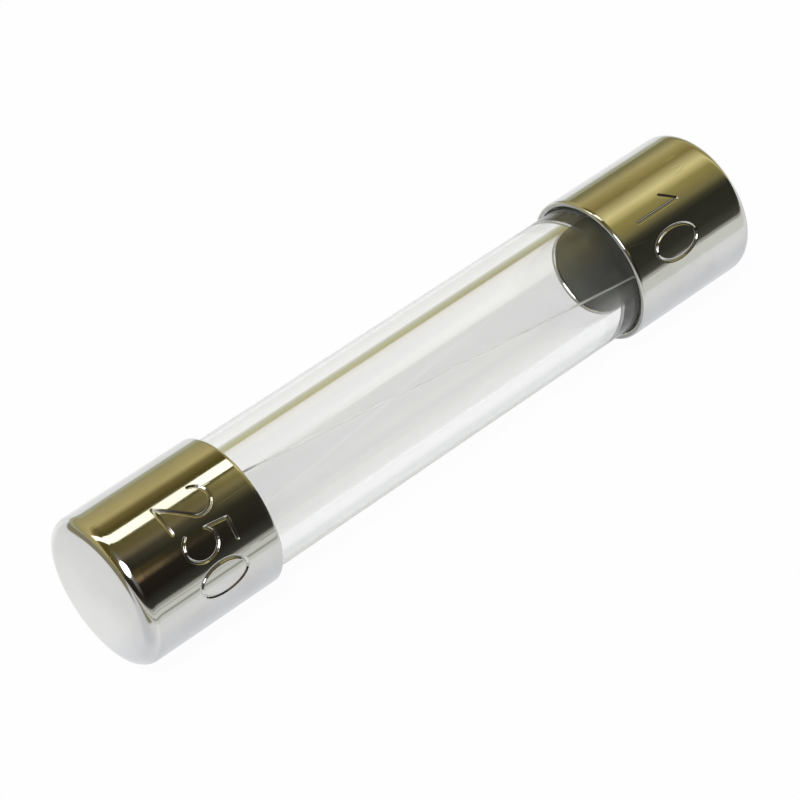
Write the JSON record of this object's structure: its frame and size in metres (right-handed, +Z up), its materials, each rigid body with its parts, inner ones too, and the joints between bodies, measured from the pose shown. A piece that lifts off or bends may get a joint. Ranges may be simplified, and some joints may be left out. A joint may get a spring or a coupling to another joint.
{
  "type": "cartridge fuse",
  "caption": "Glass-bodied cartridge fuse: a clear tube with a fine wire on the slant through its bore and a bright plated cap soldered over each end.",
  "frame": {"origin": "middle of the fuse, on its axis, halfway between the two end faces", "axes": "+X along the fuse from the left cap (the near one in the picture) to the right cap, +Z up, +Y away from the viewer's side"},
  "size_m": [0.0318, 0.0064, 0.0064],
  "materials": {
    "cap_plating": "bright nickel plate on drawn brass",
    "tube_glass": "clear, fire-polished ends",
    "element_wire": "bright drawn, tinned",
    "solder": "satin, as it froze"
  },
  "bodies": {
    "root": {"left_end_cap": "cap_plating", "right_end_cap": "cap_plating", "glass_tube": "tube_glass", "fuse_wire": "element_wire", "left_solder": "solder", "right_solder": "solder"}
  },
  "joints": []
}
